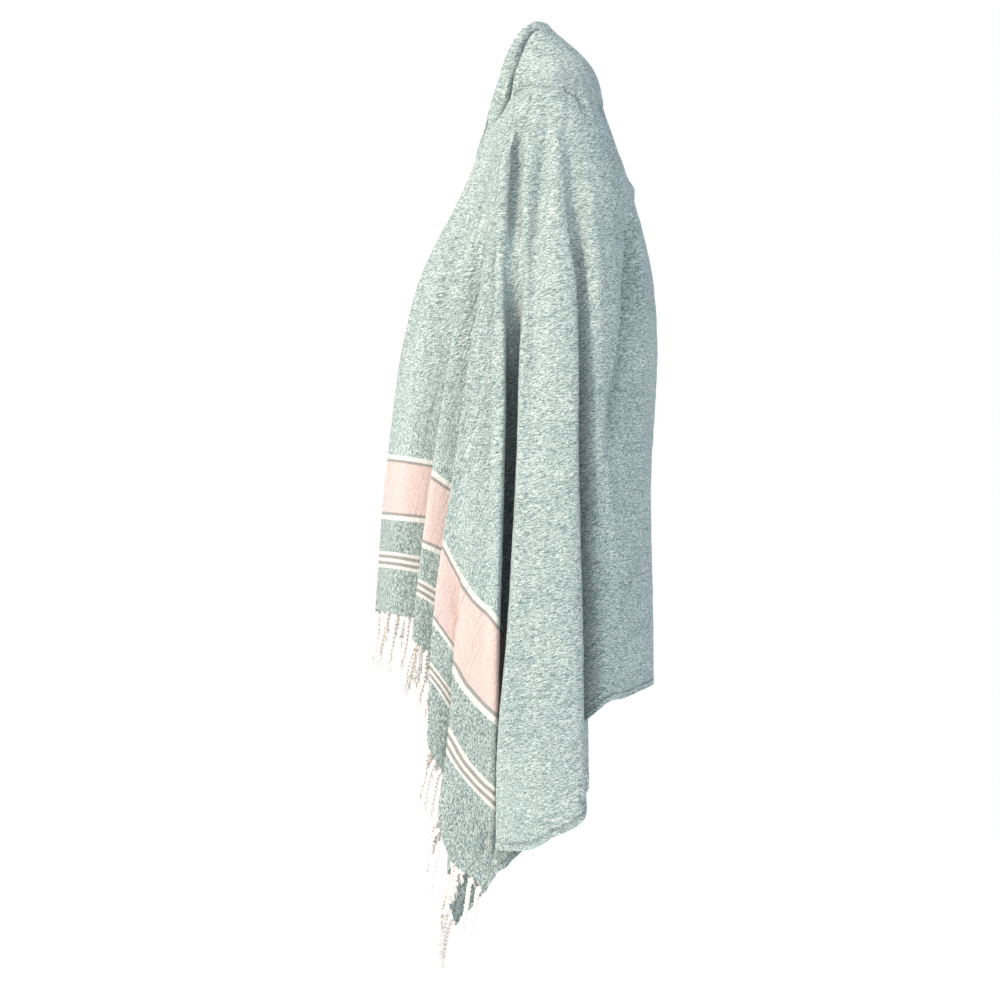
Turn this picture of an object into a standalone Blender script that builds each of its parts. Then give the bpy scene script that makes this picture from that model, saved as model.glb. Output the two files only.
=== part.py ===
"""A turkish towel worn round the shoulders as a shawl: one woven cloth, pleated as it hangs, with a fringe at each end.

Metres, +Z up. The wearer faces -X, and the side towards -Y is called near, the other far. The origin is between the
shoulders, where the cloth is held up. Tables are in millimetres: x runs from front to back, out is the distance
sideways from the wearer's middle, and drop is the distance below the shoulder line. A fall line is the path that one
thread of the drape follows from the neck edge, over the shoulder, to the lower edge.
"""

from collections import namedtuple

import bpy
import numpy as np

MM = 0.001
CLOTH_WALL = 0.0016
FRINGE_WALL = 0.0016
FRINGE_LENGTH = 0.072
SEAM_GAP = 0.0004
FRINGE_GAP = 0.0020

ROWS = 19
ROW_CROWDING = 1.45  # above 1 the rows crowd towards the neck, where the cloth turns most
STEPS_PER_FOLD = 3  # columns from one fold line to the next
FINE_STEPS = 240

CLOTH_COLOUR = (0.42, 0.56, 0.53, 1.0)
FRINGE_COLOUR = (0.86, 0.80, 0.72, 1.0)
CLOTH_ROUGHNESS = 0.95

# Rings round the neck and shoulders. Turn is 0 at the middle of the back and 1 at the front edge.
Ring = namedtuple("Ring", "turn x out drop")
NECK_EDGE = (
    Ring(0.00, -11, 0, -94),
    Ring(0.20, -28, 19, -96),
    Ring(0.40, -47, 32, -80),
    Ring(0.60, -62, 46, -52),
    Ring(0.80, -73, 60, -18),
    Ring(1.00, -84, 72, 18),
)
NECK_SIDE = (
    Ring(0.00, 54, 0, -26),
    Ring(0.20, 42, 52, -32),
    Ring(0.40, 20, 76, -36),
    Ring(0.60, -12, 84, -34),
    Ring(0.80, -48, 82, 2),
    Ring(1.00, -88, 84, 43),
)
SHOULDER = (
    Ring(0.00, 65, 0, 22),
    Ring(0.20, 60, 88, 14),
    Ring(0.40, 34, 138, -2),
    Ring(0.60, -10, 153, -12),
    Ring(0.80, -54, 136, 10),
    Ring(1.00, -95, 90, 68),
)
RINGS = (NECK_EDGE, NECK_SIDE, SHOULDER)
FAR_FORWARD = (2, 4, 5)  # how much further forward the far front edge lies on each ring

# Fold lines below the shoulders, each with its x and out at these drops, and the drop of its lower end.
DROPS = (100, 250, 330, 450, 700, 830, 1000)
Fold = namedtuple("Fold", "name turn end x out")
NEAR_FOLDS = (
    Fold("front_edge", 1.00, 672, (-107, -178, -198, -214, -234, -237, -238), (95, 85, 79, 70, 60, 58, 58)),
    Fold("chest", 0.955, 675, (-99, -156, -175, -193, -210, -213, -213), (111, 116, 115, 110, 106, 105, 104)),
    Fold("pleat_1_in", 0.92, 694, (-93, -118, -124, -128, -134, -136, -138), (122, 131, 128, 120, 112, 111, 112)),
    Fold("pleat_1_out", 0.89, 706, (-88, -121, -135, -154, -185, -195, -205), (132, 149, 153, 155, 161, 163, 165)),
    Fold("pleat_2_in", 0.86, 770, (-82, -86, -90, -94, -103, -107, -112), (143, 154, 157, 158, 161, 163, 166)),
    Fold("pleat_2_out", 0.83, 836, (-78, -97, -109, -126, -159, -166, -171), (153, 178, 185, 191, 199, 202, 205)),
    Fold("pleat_3_in", 0.80, 912, (-75, -91, -100, -112, -122, -124, -128), (159, 186, 193, 197, 200, 202, 204)),
    Fold("pleat_3_out", 0.775, 925, (-72, -84, -90, -100, -129, -139, -162), (163, 190, 196, 201, 210, 214, 218)),
    Fold("corner", 0.745, 1036, (-69, -77, -78, -82, -96, -96, -92), (167, 194, 201, 206, 218, 222, 225)),
    Fold("slit_front", 0.72, 1012, (-65, -70, -67, -68, -75, -77, -80), (170, 197, 204, 208, 221, 225, 228)),
    Fold("slit_in_front", 0.695, 996, (-57, -58, -61, -66, -73, -72, -58), (163, 184, 162, 120, 122, 166, 219)),
    Fold("slit_in_back", 0.67, 938, (-49, -47, -46, -44, -51, -30, 8), (163, 184, 160, 116, 118, 158, 211)),
    Fold("side_front", 0.64, 976, (-37, -37, -44, -46, -60, -74, -77), (173, 203, 212, 220, 234, 238, 241)),
    Fold("side_crease", 0.59, 979, (-14, -26, -28, -27, -35, -35, -33), (172, 203, 213, 224, 241, 246, 250)),
    Fold("side_middle", 0.53, 965, (-3, -4, -4, -5, -10, -9, -6), (181, 214, 223, 230, 246, 251, 255)),
    Fold("side_back", 0.47, 934, (8, 26, 29, 29, 34, 37, 41), (179, 208, 216, 223, 237, 241, 245)),
    Fold("tuck_in", 0.43, 862, (22, 22, 20, 14, 5, 2, 0), (173, 182, 176, 162, 152, 150, 152)),
    Fold("back_near", 0.39, 795, (38, 50, 53, 55, 60, 61, 62), (167, 189, 193, 193, 195, 196, 197)),
    Fold("back_ridge", 0.30, 783, (65, 77, 78, 78, 88, 90, 90), (150, 170, 173, 172, 172, 173, 174)),
    Fold("back_valley", 0.21, 776, (82, 94, 95, 94, 104, 106, 106), (122, 131, 139, 150, 147, 147, 148)),
    Fold("back_round", 0.12, 768, (90, 121, 124, 121, 123, 123, 123), (86, 94, 96, 98, 98, 99, 100)),
)
MIDDLE = Fold("back_middle", 0.00, 764, (91, 125, 128, 124, 127, 127, 127), (0, 0, 0, 0, 0, 0, 0))
FAR_FOLDS = (
    Fold("back_round", 0.12, 762, (89, 120, 124, 121, 122, 122, 122), (84, 94, 97, 100, 106, 107, 108)),
    Fold("back_valley", 0.21, 770, (80, 102, 104, 100, 103, 104, 104), (122, 132, 138, 146, 148, 149, 150)),
    Fold("back_ridge", 0.30, 782, (62, 74, 77, 78, 82, 83, 84), (150, 172, 176, 176, 182, 183, 184)),
    Fold("tuck_in", 0.40, 832, (34, 36, 32, 24, 10, 7, 6), (167, 176, 169, 152, 138, 137, 140)),
    Fold("side_back", 0.46, 905, (15, 28, 31, 33, 40, 43, 46), (178, 208, 216, 222, 236, 241, 246)),
    Fold("side_middle", 0.54, 950, (-8, -6, -5, -4, -2, -1, 0), (182, 216, 225, 232, 246, 251, 256)),
    Fold("side_front", 0.62, 985, (-36, -36, -37, -38, -42, -44, -46), (176, 208, 217, 224, 238, 243, 248)),
    Fold("slit_in_back", 0.66, 1000, (-45, -44, -44, -45, -54, -58, -62), (166, 180, 160, 134, 136, 150, 190)),
    Fold("slit_in_front", 0.69, 1022, (-52, -58, -60, -62, -70, -74, -78), (166, 180, 160, 134, 136, 150, 190)),
    Fold("slit_front", 0.73, 1056, (-60, -70, -74, -80, -92, -97, -102), (166, 194, 202, 210, 222, 226, 230)),
    Fold("corner", 0.77, 1086, (-66, -82, -88, -96, -112, -119, -126), (160, 188, 196, 204, 216, 220, 224)),
    Fold("pleat_2_out", 0.81, 1030, (-73, -98, -106, -114, -130, -135, -139), (152, 180, 188, 196, 208, 211, 214)),
    Fold("pleat_2_in", 0.85, 880, (-81, -92, -93, -92, -96, -99, -102), (143, 152, 151, 146, 144, 146, 150)),
    Fold("pleat_1_out", 0.89, 700, (-89, -120, -133, -148, -172, -177, -180), (132, 147, 153, 160, 168, 170, 172)),
    Fold("pleat_1_in", 0.92, 676, (-94, -117, -122, -124, -130, -132, -134), (123, 129, 127, 120, 114, 113, 114)),
    Fold("chest", 0.96, 652, (-99, -150, -167, -184, -202, -205, -206), (110, 114, 112, 108, 106, 106, 106)),
    Fold("front_edge", 1.00, 640, (-106, -171, -189, -204, -222, -225, -226), (94, 86, 82, 76, 70, 69, 68)),
)
NEAR, FAR = -1, 1

# Where the drop of the lower end is known between fold lines too, at places counted in fold lines from the near front.
ENDS_BETWEEN = ((5.35, 864), (5.7, 896), (7.35, 975), (7.5, 998), (7.75, 1014))

# Each stretch of the cloth that shows: name, and the fold lines that it runs between.
Stretch = namedtuple("Stretch", "name start stop")
STRETCHES = (
    Stretch("near_front", (NEAR, "front_edge"), (NEAR, "slit_in_front")),
    Stretch("near_side", (NEAR, "slit_in_front"), (NEAR, "tuck_in")),
    Stretch("back", (NEAR, "tuck_in"), (FAR, "tuck_in")),
    Stretch("far_side", (FAR, "tuck_in"), (FAR, "slit_in_back")),
    Stretch("far_front", (FAR, "slit_in_back"), (FAR, "front_edge")),
)
FRINGES = (
    Stretch("near_fringe", (NEAR, "front_edge"), (NEAR, "corner")),
    Stretch("far_fringe", (FAR, "corner"), (FAR, "front_edge")),
)


def clear_scene():
    for obj in list(bpy.data.objects):
        bpy.data.objects.remove(obj, do_unlink=True)


def smooth_curve(places, values, at):
    """Values at the given places of a smooth curve through the rows of values."""
    places = np.asarray(places, float)
    values = np.asarray(values, float)
    steps = np.diff(places)
    slopes = np.diff(values, axis=0) / steps[:, None]
    tangents = np.empty_like(values)
    tangents[0] = slopes[0]
    tangents[-1] = slopes[-1]
    weights = (steps[:-1] / (steps[:-1] + steps[1:]))[:, None]
    tangents[1:-1] = slopes[:-1] * (1 - weights) + slopes[1:] * weights
    span = np.clip(np.searchsorted(places, at, side="right") - 1, 0, len(places) - 2)
    width = steps[span][:, None]
    part = ((at - places[span]) / steps[span])[:, None]
    rise = part * part * (3 - 2 * part)
    return (
        values[span] * (1 - rise)
        + values[span + 1] * rise
        + tangents[span] * width * part * (1 - part) ** 2
        - tangents[span + 1] * width * part**2 * (1 - part)
    )


def ring_point(ring, turn, side, forward):
    """The place of one fall line on a ring of the neck or shoulders."""
    rows = np.array([row[1:] for row in ring], float)
    x, out, drop = smooth_curve([row.turn for row in ring], rows, np.array([turn]))[0]
    return (x - forward * turn, side * out, -drop)


def stations_of(fold, side):
    """The points that one fall line goes through, from the neck edge down, in millimetres."""
    points = []
    for ring, forward in zip(RINGS, FAR_FORWARD):
        points.append(ring_point(ring, fold.turn, side, forward if side == FAR else 0))
    for drop, x, out in zip(DROPS, fold.x, fold.out):
        points.append((x, side * out, -drop))
    return points


def between_folds(points, steps):
    """Points between fold lines, on smooth closed-in curves that don't swing wide at a sharp fold."""
    before = 2 * points[0] - points[1]
    after = 2 * points[-1] - points[-2]
    chain = np.concatenate([before[None], points, after[None]])
    columns = []
    for k, count in enumerate(steps):
        p0, p1, p2, p3 = chain[k : k + 4]
        t0 = 0.0
        t1 = t0 + np.linalg.norm(p1 - p0, axis=1, keepdims=True) ** 0.5
        t2 = t1 + np.linalg.norm(p2 - p1, axis=1, keepdims=True) ** 0.5
        t3 = t2 + np.linalg.norm(p3 - p2, axis=1, keepdims=True) ** 0.5
        for step in range(count):
            t = t1 + (t2 - t1) * step / count
            a1 = p0 + (p1 - p0) * (t - t0) / (t1 - t0)
            a2 = p1 + (p2 - p1) * (t - t1) / (t2 - t1)
            a3 = p2 + (p3 - p2) * (t - t2) / (t3 - t2)
            b1 = a1 + (a2 - a1) * (t - t0) / (t2 - t0)
            b2 = a2 + (a3 - a2) * (t - t1) / (t3 - t1)
            columns.append(b1 + (b2 - b1) * (t - t1) / (t2 - t1))
    columns.append(points[-1])
    return np.array(columns)


def lower_ends(folds, steps, corners):
    """The drop of the lower end of every column: smooth along each edge of the cloth, with a true corner between."""
    known = sorted([(k, fold.end) for k, fold in enumerate(folds)] + list(ENDS_BETWEEN))
    places, ends = np.array(known, float).T
    at = np.concatenate([k + np.arange(count) / count for k, count in enumerate(steps)])
    breaks = [0, *corners, len(folds) - 1]
    drops = np.full(len(at) + 1, ends[-1])
    for first, last in zip(breaks, breaks[1:]):
        run = (places >= first) & (places <= last)
        inside = np.flatnonzero((at >= first) & (at < last))
        drops[inside] = smooth_curve(places[run], ends[run, None], at[inside])[:, 0]
    return drops


def hang(stations, end):
    """One fall line as evenly found points from the neck edge to its lower end."""
    lengths = np.linalg.norm(np.diff(stations, axis=0), axis=1)
    places = np.concatenate([[0], np.cumsum(lengths)])
    reach = np.linspace(0, places[-1] * 1.12, FINE_STEPS)
    inside = np.minimum(reach, places[-1])
    line = smooth_curve(places, stations, inside)
    last_run = (stations[-1] - stations[-2]) / lengths[-1]
    line += (reach - inside)[:, None] * last_run
    stop = np.interp(end, -line[:, 2], reach)
    rows = stop * np.linspace(0, 1, ROWS) ** ROW_CROWDING
    return np.stack([np.interp(rows, reach, line[:, axis]) for axis in range(3)], axis=1)


def whole_cloth():
    """The cloth's middle surface as columns of rows of points, in metres, and the column of each fold line."""
    sided = [(NEAR, fold) for fold in NEAR_FOLDS] + [(NEAR, MIDDLE)] + [(FAR, fold) for fold in FAR_FOLDS]
    folds = [fold for _, fold in sided]
    stations = np.array([stations_of(fold, side) for side, fold in sided], float)
    steps = [STEPS_PER_FOLD] * (len(folds) - 1)
    corners = [k for k, fold in enumerate(folds) if fold.name == "corner"]
    ends = lower_ends(folds, steps, corners)
    columns = between_folds(stations, steps)
    surface = np.array([hang(column, end) for column, end in zip(columns, ends)]) * MM
    starts = np.concatenate([[0], np.cumsum(steps)])
    place = {(side, fold.name): int(start) for (side, fold), start in zip(sided, starts)}
    return surface, place


def unit(vectors):
    return vectors / np.linalg.norm(vectors, axis=-1, keepdims=True)


def runs_through(points):
    """The direction of a chain of points at each of them, halfway between its runs before and after."""
    runs = unit(np.diff(points, axis=0))
    return np.concatenate([runs[:1], runs[:-1] + runs[1:], runs[-1:]])


def square_to(axes, vectors):
    """The part of each vector that is square to its axis, as a unit vector."""
    return unit(vectors - axes * np.sum(vectors * axes, axis=-1, keepdims=True))


def outward_normals(surface):
    """Unit normals of a grid of points, facing away from the wearer. On a fold they halve its angle."""
    down = unit(runs_through(surface.swapaxes(0, 1))).swapaxes(0, 1)
    runs = np.diff(surface, axis=0)
    along = np.zeros_like(surface)
    along[1:] += square_to(down[1:], runs)
    along[:-1] += square_to(down[:-1], runs)
    return unit(np.cross(down, along))


def trim_edge(grid, first, second, gap):
    """Moves the edge line of a grid squarely towards its neighbour, to leave half of a seam's gap."""
    seam = unit(runs_through(grid[first]))
    grid[first] += square_to(seam, grid[second] - grid[first]) * gap / 2


def split_cells(middle):
    """Two triangles for each cell of a grid of points, split along the cell's shorter diagonal."""
    columns, rows = middle.shape[:2]
    points = middle.reshape(-1, 3)
    triangles = []
    for c in range(columns - 1):
        for a in range(c * rows, c * rows + rows - 1):
            b, d, e = a + 1, a + rows + 1, a + rows
            if np.linalg.norm(points[a] - points[d]) < np.linalg.norm(points[b] - points[e]):
                triangles += [(a, b, d), (a, d, e)]
            else:
                triangles += [(a, b, e), (b, d, e)]
    return triangles


def rim_of(columns, rows):
    """The points round the outside of a grid, in order."""
    numbers = np.arange(columns * rows).reshape(columns, rows)
    sides = (numbers[:-1, 0], numbers[-1, :-1], numbers[:0:-1, -1], numbers[0, :0:-1])
    return np.concatenate(sides).tolist()


def wall_object(name, middle, normals, thickness, material):
    """A closed wall of one thickness round a grid of points."""
    columns, rows = middle.shape[:2]
    outer = middle + normals * thickness / 2
    inner = middle - normals * thickness / 2
    points = np.concatenate([outer.reshape(-1, 3), inner.reshape(-1, 3)])
    back = columns * rows
    faces = split_cells(middle)
    faces += [(back + c, back + b, back + a) for a, b, c in faces]
    rim = rim_of(columns, rows)
    for here, there in zip(rim, rim[1:] + rim[:1]):
        faces.append((here, there, back + there, back + here))
    mesh = bpy.data.meshes.new(name)
    mesh.from_pydata(points.tolist(), [], faces)
    mesh.materials.append(material)
    mesh.shade_smooth()
    mesh.set_sharp_from_angle(angle=np.radians(60))
    obj = bpy.data.objects.new(name, mesh)
    bpy.context.scene.collection.objects.link(obj)
    return obj


def plain_material(name, colour):
    material = bpy.data.materials.new(name)
    material.use_nodes = True
    shader = material.node_tree.nodes["Principled BSDF"]
    shader.inputs["Base Color"].default_value = colour
    shader.inputs["Roughness"].default_value = CLOTH_ROUGHNESS
    shader.inputs["Metallic"].default_value = 0.0
    material.diffuse_color = colour
    return material


def build_stretch(stretch, surface, normals, place):
    """One stretch of the cloth, cut free of its neighbours along the fold lines where they meet."""
    first, last = place[stretch.start], place[stretch.stop]
    middle = surface[first : last + 1].copy()
    if first > 0:
        trim_edge(middle, 0, 1, SEAM_GAP)
    if last < len(surface) - 1:
        trim_edge(middle, -1, -2, SEAM_GAP)
    wall_object(stretch.name, middle, normals[first : last + 1], CLOTH_WALL, plain_material(stretch.name, CLOTH_COLOUR))


def build_fringe(fringe, surface, normals, place):
    """The reach of one fringe: a wall that hangs straight down from the cloth's short end."""
    first, last = place[fringe.start], place[fringe.stop]
    edge = surface[first : last + 1, -1]
    fall = edge - surface[first : last + 1, -2]
    along = unit(runs_through(edge))
    top = edge + square_to(along, fall) * FRINGE_GAP
    tip = top + np.array([0, 0, -FRINGE_LENGTH])
    facing = normals[first : last + 1, -1]
    level = unit(facing * np.array([1, 1, 0]))
    middle = np.stack([top, tip], axis=1)
    sideways = np.stack([facing, level], axis=1)
    wall_object(fringe.name, middle, sideways, FRINGE_WALL, plain_material(fringe.name, FRINGE_COLOUR))


def main():
    clear_scene()
    surface, place = whole_cloth()
    normals = outward_normals(surface)
    for stretch in STRETCHES:
        build_stretch(stretch, surface, normals, place)
    for fringe in FRINGES:
        build_fringe(fringe, surface, normals, place)


main()
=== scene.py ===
"""A Turkish towel worn round the shoulders as a shawl: crepe-woven, with striped ends and knotted fringes.

Metres, +Z up. The wearer faces -X, and the side towards -Y is called near, the other far. Tables are in
millimetres: x runs from front to back, out is the distance sideways from the wearer's middle, and drop is the
distance below the shoulder line. On the flat cloth u runs along its length from the middle of the back, and v
across it from the neck.
"""

from collections import namedtuple

import bpy
import numpy as np
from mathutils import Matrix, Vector, noise
from mathutils.bvhtree import BVHTree


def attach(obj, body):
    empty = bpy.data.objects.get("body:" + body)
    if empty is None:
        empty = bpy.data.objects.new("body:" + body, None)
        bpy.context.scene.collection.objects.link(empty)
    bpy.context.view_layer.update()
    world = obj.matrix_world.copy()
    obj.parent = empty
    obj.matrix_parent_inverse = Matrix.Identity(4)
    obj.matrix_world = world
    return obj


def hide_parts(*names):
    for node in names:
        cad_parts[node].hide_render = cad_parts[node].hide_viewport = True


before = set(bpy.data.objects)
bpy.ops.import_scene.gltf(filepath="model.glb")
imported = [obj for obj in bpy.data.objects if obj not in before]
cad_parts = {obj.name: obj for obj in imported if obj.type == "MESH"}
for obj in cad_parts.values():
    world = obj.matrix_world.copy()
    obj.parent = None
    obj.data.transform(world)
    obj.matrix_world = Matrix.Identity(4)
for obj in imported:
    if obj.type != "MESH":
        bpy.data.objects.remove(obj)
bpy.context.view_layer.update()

MM = 0.001
FLAT_WIDTH = 0.90
FLAT_LENGTH = 1.70
HALF_LENGTH = FLAT_LENGTH / 2
CLOTH_WALL = 0.0015
HEM_WIDTH = 0.009
HEM_WALL = 0.0026
HEM_STEP = (0.8 * HEM_WIDTH, 1.15 * HEM_WIDTH)  # where the hem's extra thickness ends
SHARP = np.radians(70)

COLLAR_ROWS = 18  # close together, for the crease under the collar
COLLAR_STEP = 1.7
ROWS = 150
ROW_CROWDING = 1.15  # above 1 the rows crowd towards the neck, where the cloth turns most
HEM_ROWS = 4
NEAR_STEPS = 10  # columns from one fold line to the next
FAR_STEPS = 7
EDGE_CROWDING = 1.8
FINE_STEPS = 400
FALL_SPARE = 1.12  # how far a fall line is drawn past its last known point, as a share

# Rings round the neck and shoulders: x, out and drop at each of these turns. Turn is 0 at the middle of the
# back and 1 at the front edge.
RING_TURNS = (0.0, 0.2, 0.4, 0.6, 0.8, 1.0)
NECK_EDGE = ((-11, 0, -94), (-28, 19, -96), (-47, 32, -80), (-62, 46, -52), (-73, 60, -18), (-84, 72, 18))
NECK_SIDE = ((54, 0, -26), (42, 52, -32), (20, 76, -36), (-12, 84, -34), (-48, 82, 2), (-88, 84, 43))
SHOULDER = ((65, 0, 22), (60, 88, 14), (34, 138, -2), (-10, 153, -12), (-54, 136, 10), (-95, 90, 68))
RINGS = (NECK_EDGE, NECK_SIDE, SHOULDER)
FAR_FORWARD = (2, 4, 5)  # how much further forward the far front edge lies on each ring

# Fold lines below the shoulders, each with its x and out at these drops, and the drop of its lower end.
DROPS = (100, 250, 330, 450, 700, 830, 1000)
Fold = namedtuple("Fold", "name turn end x out")
NEAR_FOLDS = tuple(Fold(*row) for row in (
    ("front_edge", 1.00, 672, (-107, -178, -198, -214, -234, -237, -238), (95, 85, 79, 70, 60, 58, 58)),
    ("chest", 0.955, 675, (-99, -156, -175, -193, -210, -213, -213), (111, 116, 115, 110, 106, 105, 104)),
    ("pleat1_in", 0.92, 694, (-93, -118, -124, -128, -134, -136, -138), (122, 131, 128, 120, 112, 111, 112)),
    ("pleat1_out", 0.89, 706, (-88, -121, -135, -154, -185, -195, -205), (132, 149, 153, 155, 161, 163, 165)),
    ("pleat2_in", 0.86, 770, (-82, -86, -90, -94, -103, -107, -112), (143, 154, 157, 158, 161, 163, 166)),
    ("pleat2_out", 0.83, 836, (-78, -97, -109, -126, -159, -166, -171), (153, 178, 185, 191, 199, 202, 205)),
    ("pleat3_in", 0.80, 912, (-75, -91, -100, -112, -122, -124, -128), (159, 186, 193, 197, 200, 202, 204)),
    ("pleat3_out", 0.775, 925, (-72, -84, -90, -100, -129, -139, -162), (163, 190, 196, 201, 210, 214, 218)),
    ("corner", 0.745, 1036, (-69, -77, -78, -82, -96, -96, -92), (167, 194, 201, 206, 218, 222, 225)),
    ("slit_front", 0.72, 1012, (-65, -70, -67, -68, -75, -77, -80), (170, 197, 204, 208, 221, 225, 228)),
    ("slit_in_front", 0.695, 996, (-57, -58, -61, -66, -73, -72, -58), (163, 184, 162, 120, 122, 166, 219)),
    ("slit_in_back", 0.67, 938, (-49, -47, -46, -44, -51, -30, 8), (163, 184, 160, 116, 118, 158, 211)),
    ("side_front", 0.64, 976, (-37, -37, -44, -46, -60, -74, -77), (173, 203, 212, 220, 234, 238, 241)),
    ("side_crease", 0.59, 979, (-14, -26, -28, -27, -35, -35, -33), (172, 203, 213, 224, 241, 246, 250)),
    ("side_middle", 0.53, 965, (-3, -4, -4, -5, -10, -9, -6), (181, 214, 223, 230, 246, 251, 255)),
    ("side_back", 0.47, 934, (8, 26, 29, 29, 34, 37, 41), (179, 208, 216, 223, 237, 241, 245)),
    ("tuck_in", 0.43, 862, (22, 22, 20, 14, 5, 2, 0), (173, 182, 176, 162, 152, 150, 152)),
    ("back_near", 0.39, 795, (38, 50, 53, 55, 60, 61, 62), (167, 189, 193, 193, 195, 196, 197)),
    ("back_ridge", 0.30, 783, (65, 77, 78, 78, 88, 90, 90), (150, 170, 173, 172, 172, 173, 174)),
    ("back_valley", 0.21, 776, (82, 94, 95, 94, 104, 106, 106), (122, 131, 139, 150, 147, 147, 148)),
    ("back_round", 0.12, 768, (90, 121, 124, 121, 123, 123, 123), (86, 94, 96, 98, 98, 99, 100)),
))
MIDDLE = Fold("back_middle", 0.00, 764, (91, 125, 128, 124, 127, 127, 127), (0, 0, 0, 0, 0, 0, 0))
FAR_FOLDS = tuple(Fold(*row) for row in (
    ("back_round", 0.12, 762, (89, 120, 124, 121, 122, 122, 122), (84, 94, 97, 100, 106, 107, 108)),
    ("back_valley", 0.21, 770, (80, 102, 104, 100, 103, 104, 104), (122, 132, 138, 146, 148, 149, 150)),
    ("back_ridge", 0.30, 782, (62, 74, 77, 78, 82, 83, 84), (150, 172, 176, 176, 182, 183, 184)),
    ("tuck_in", 0.40, 832, (34, 36, 32, 24, 10, 7, 6), (167, 176, 169, 152, 138, 137, 140)),
    ("side_back", 0.46, 905, (15, 28, 31, 33, 40, 43, 46), (178, 208, 216, 222, 236, 241, 246)),
    ("side_middle", 0.54, 950, (-8, -6, -5, -4, -2, -1, 0), (182, 216, 225, 232, 246, 251, 256)),
    ("side_front", 0.62, 985, (-36, -36, -37, -38, -42, -44, -46), (176, 208, 217, 224, 238, 243, 248)),
    ("slit_in_back", 0.66, 1000, (-45, -44, -44, -45, -54, -58, -62), (166, 180, 160, 134, 136, 150, 190)),
    ("slit_in_front", 0.69, 1022, (-52, -58, -60, -62, -70, -74, -78), (166, 180, 160, 134, 136, 150, 190)),
    ("slit_front", 0.73, 1056, (-60, -70, -74, -80, -92, -97, -102), (166, 194, 202, 210, 222, 226, 230)),
    ("corner", 0.77, 1086, (-66, -82, -88, -96, -112, -119, -126), (160, 188, 196, 204, 216, 220, 224)),
    ("pleat2_out", 0.81, 1030, (-73, -98, -106, -114, -130, -135, -139), (152, 180, 188, 196, 208, 211, 214)),
    ("pleat2_in", 0.85, 880, (-81, -92, -93, -92, -96, -99, -102), (143, 152, 151, 146, 144, 146, 150)),
    ("pleat1_out", 0.89, 700, (-89, -120, -133, -148, -172, -177, -180), (132, 147, 153, 160, 168, 170, 172)),
    ("pleat1_in", 0.92, 676, (-94, -117, -122, -124, -130, -132, -134), (123, 129, 127, 120, 114, 113, 114)),
    ("chest", 0.96, 652, (-99, -150, -167, -184, -202, -205, -206), (110, 114, 112, 108, 106, 106, 106)),
    ("front_edge", 1.00, 640, (-106, -171, -189, -204, -222, -225, -226), (94, 86, 82, 76, 70, 69, 68)),
))
NEAR, FAR = -1, 1

# Drops of the lower end between fold lines, at places counted in fold lines from the near front edge.
ENDS_BETWEEN = ((5.35, 864), (5.7, 896), (7.35, 975), (7.5, 998), (7.75, 1014))


def unit(vectors):
    return vectors / np.linalg.norm(vectors, axis=-1, keepdims=True)


def smooth_step(low, high, values):
    part = np.clip((values - low) / (high - low), 0, 1)
    return part * part * (3 - 2 * part)


# The form of the cloth.


def smooth_curve(places, values, at):
    """Values at the given places of a smooth curve through the rows of values."""
    places = np.asarray(places, float)
    values = np.asarray(values, float)
    steps = np.diff(places)
    slopes = np.diff(values, axis=0) / steps[:, None]
    tangents = np.empty_like(values)
    tangents[0] = slopes[0]
    tangents[-1] = slopes[-1]
    weights = (steps[:-1] / (steps[:-1] + steps[1:]))[:, None]
    tangents[1:-1] = slopes[:-1] * (1 - weights) + slopes[1:] * weights
    span = np.clip(np.searchsorted(places, at, side="right") - 1, 0, len(places) - 2)
    width = steps[span][:, None]
    part = ((at - places[span]) / steps[span])[:, None]
    rise = part * part * (3 - 2 * part)
    return (
        values[span] * (1 - rise)
        + values[span + 1] * rise
        + tangents[span] * width * part * (1 - part) ** 2
        - tangents[span + 1] * width * part**2 * (1 - part)
    )


def stations_of(fold, side):
    """The points that one fall line goes through, from the neck edge down, in millimetres."""
    points = []
    for ring, forward in zip(RINGS, FAR_FORWARD if side == FAR else (0, 0, 0)):
        x, out, drop = smooth_curve(RING_TURNS, ring, np.array([fold.turn]))[0]
        points.append((x - forward * fold.turn, side * out, -drop))
    return points + [(x, side * out, -drop) for drop, x, out in zip(DROPS, fold.x, fold.out)]


def between_folds(points, parts):
    """Points between fold lines, on smooth closed-in curves that don't swing wide at a sharp fold."""
    before = 2 * points[0] - points[1]
    after = 2 * points[-1] - points[-2]
    chain = np.concatenate([before[None], points, after[None]])
    columns = []
    for k, shares in enumerate(parts):
        p0, p1, p2, p3 = chain[k : k + 4]
        runs = np.linalg.norm(np.diff(chain[k : k + 4], axis=0), axis=2, keepdims=True)
        t1, t2, t3 = np.cumsum(runs**0.5, axis=0)
        for share in shares:
            t = t1 + (t2 - t1) * share
            a1 = p0 + (p1 - p0) * t / t1
            a2 = p1 + (p2 - p1) * (t - t1) / (t2 - t1)
            a3 = p2 + (p3 - p2) * (t - t2) / (t3 - t2)
            b1 = a1 + (a2 - a1) * t / t2
            b2 = a2 + (a3 - a2) * (t - t1) / (t3 - t1)
            columns.append(b1 + (b2 - b1) * (t - t1) / (t2 - t1))
    columns.append(points[-1])
    return np.array(columns)


def along_folds(known, at, breaks):
    """A value for every column from those known at some places: smooth, with a true corner at each break."""
    places, values = np.array(sorted(known), float).T
    found = np.empty(len(at))
    for first, last in zip(breaks, breaks[1:]):
        run = (places >= first) & (places <= last)
        inside = (at >= first) & (at <= last)
        found[inside] = smooth_curve(places[run], values[run, None], at[inside])[:, 0]
    return found


def point_at(place, lengths, points):
    return np.stack([np.interp(place, lengths, points[:, axis]) for axis in range(3)], axis=-1)


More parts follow.
